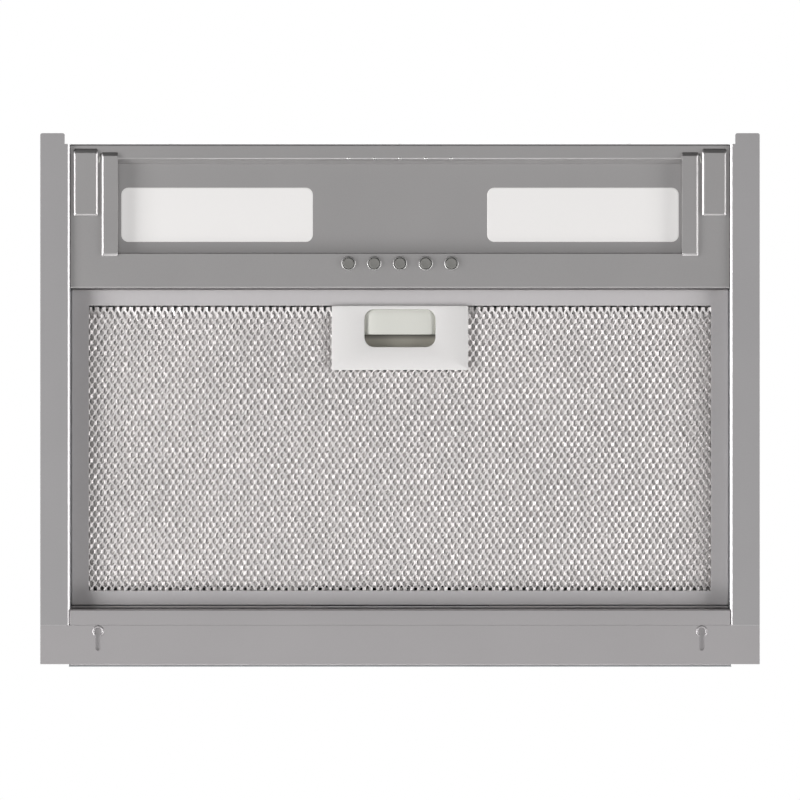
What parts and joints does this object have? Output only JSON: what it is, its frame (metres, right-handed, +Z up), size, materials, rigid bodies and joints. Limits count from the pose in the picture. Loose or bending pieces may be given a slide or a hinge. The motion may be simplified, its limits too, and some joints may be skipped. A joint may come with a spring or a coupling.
{
  "type": "range hood insert",
  "caption": "Built-in range hood insert: flanged steel tray with a recessed lamp and button panel, hinged mesh grease filter, blower in a housing above and a round duct collar with flaps.",
  "frame": {"origin": "middle of the underside, in the plane of the mounting flange", "axes": "+Z up, +Y from the front edge with the buttons to the rear edge, +X across the width"},
  "size_m": [0.534, 0.3962, 0.285],
  "materials": {
    "satin_steel": "silver powder coat, satin",
    "galvanised_steel": "galvanised, dull",
    "dark_steel": "dark lacquer",
    "frosted_lens": "opal, satin",
    "white_plastic": "matt",
    "board": "solder resist",
    "led": "phosphor",
    "silver_plastic": "metallised, satin",
    "button_plastic": "satin",
    "black_plastic": "moulded, fine grain",
    "grey_plastic": "moulded",
    "spring_steel": "drawn wire, bright",
    "filter_aluminium": "satin",
    "mesh_aluminium": "bright expanded sheet",
    "zinc": "zinc plated",
    "light_plastic": "satin, off-white",
    "bronze": "sintered bronze",
    "copper": "enamelled copper",
    "lead_sheath": "pvc sheath"
  },
  "bodies": {
    "hood": {"button_bezels": "silver_plastic", "button_springs": "spring_steel", "cable_gland": "black_plastic", "capacitor_clip": "zinc", "control_board": "board", "control_box": "white_plastic", "control_cover": "white_plastic", "corner_box_left": "satin_steel", "corner_box_right": "satin_steel", "end_strip_left": "satin_steel", "end_strip_right": "satin_steel", "fan_scroll_left": "black_plastic", "fan_scroll_right": "black_plastic", "flap_pins": "zinc", "indicator_lenses": "silver_plastic", "internal_leads": "lead_sheath", "lamp_housings": "white_plastic", "lamp_lenses": "frosted_lens", "led_boards": "board", "led_chips": "led", "led_driver": "white_plastic", "light_panel": "satin_steel", "lower_casing": "galvanised_steel", "motor_body": "dark_steel", "motor_bushes": "bronze", "motor_capacitor": "white_plastic", "motor_housing": "galvanised_steel", "motor_spider": "galvanised_steel", "motor_windings": "copper", "outlet_collar": "black_plastic", "panel_clips": "satin_steel", "rear_cross_member": "satin_steel", "rear_strip": "satin_steel", "rivets": "zinc", "screws": "zinc", "side_rail_left": "satin_steel", "side_rail_right": "satin_steel", "switch_block": "black_plastic", "switch_board": "board", "tray_top": "galvanised_steel"},
    "filter": {"filter_frame": "filter_aluminium", "filter_mesh_front": "mesh_aluminium", "filter_mesh_core": "mesh_aluminium", "filter_mesh_back": "mesh_aluminium", "filter_pivot_studs": "zinc", "latch_plate": "light_plastic", "latch_back": "light_plastic", "latch_spring": "spring_steel"},
    "latch": {"latch_slide": "light_plastic"},
    "fan": {"fan_wheel": "black_plastic", "fan_blades": "black_plastic", "motor_shaft": "spring_steel", "motor_rotor": "dark_steel"},
    "front_flap": {"flap_front": "grey_plastic"},
    "rear_flap": {"flap_rear": "grey_plastic"},
    "push_button_1": {"button_1": "button_plastic"},
    "push_button_2": {"button_2": "button_plastic"},
    "push_button_3": {"button_3": "button_plastic"},
    "push_button_4": {"button_4": "button_plastic"},
    "push_button_5": {"button_5": "button_plastic"}
  },
  "joints": [
    {"name": "filter_swing", "type": "hinge", "parent": "hood", "child": "filter", "pos_m": [0, 0.15, 0.0135], "axis": [1, 0, 0], "range_deg": [0, 85]},
    {"name": "latch_release", "type": "slide", "parent": "filter", "child": "latch", "axis": [0, 1, 0], "range_m": [0, 0.006], "stiffness_N_per_m": 400, "springref_m": -0.002, "deforming": ["latch_spring"]},
    {"name": "fan_spin", "type": "hinge", "parent": "hood", "child": "fan", "pos_m": [0, 0.0751, 0.145], "axis": [1, 0, 0], "continuous": true},
    {"name": "front_flap_swing", "type": "hinge", "parent": "hood", "child": "front_flap", "pos_m": [0, 0.0846, 0.248], "axis": [-1, 0, 0], "range_deg": [0, 75]},
    {"name": "rear_flap_swing", "type": "hinge", "parent": "hood", "child": "rear_flap", "pos_m": [0, 0.0916, 0.248], "axis": [1, 0, 0], "range_deg": [0, 75]},
    {"name": "button_1_press", "type": "slide", "parent": "hood", "child": "push_button_1", "axis": [0, 0, 1], "range_m": [0, 0.002], "stiffness_N_per_m": 300, "springref_m": -0.001, "deforming": ["button_springs"]},
    {"name": "button_2_press", "type": "slide", "parent": "hood", "child": "push_button_2", "axis": [0, 0, 1], "range_m": [0, 0.002], "stiffness_N_per_m": 300, "springref_m": -0.001, "deforming": ["button_springs"]},
    {"name": "button_3_press", "type": "slide", "parent": "hood", "child": "push_button_3", "axis": [0, 0, 1], "range_m": [0, 0.002], "stiffness_N_per_m": 300, "springref_m": -0.001, "deforming": ["button_springs"]},
    {"name": "button_4_press", "type": "slide", "parent": "hood", "child": "push_button_4", "axis": [0, 0, 1], "range_m": [0, 0.002], "stiffness_N_per_m": 300, "springref_m": -0.001, "deforming": ["button_springs"]},
    {"name": "button_5_press", "type": "slide", "parent": "hood", "child": "push_button_5", "axis": [0, 0, 1], "range_m": [0, 0.002], "stiffness_N_per_m": 300, "springref_m": -0.001, "deforming": ["button_springs"]}
  ]
}
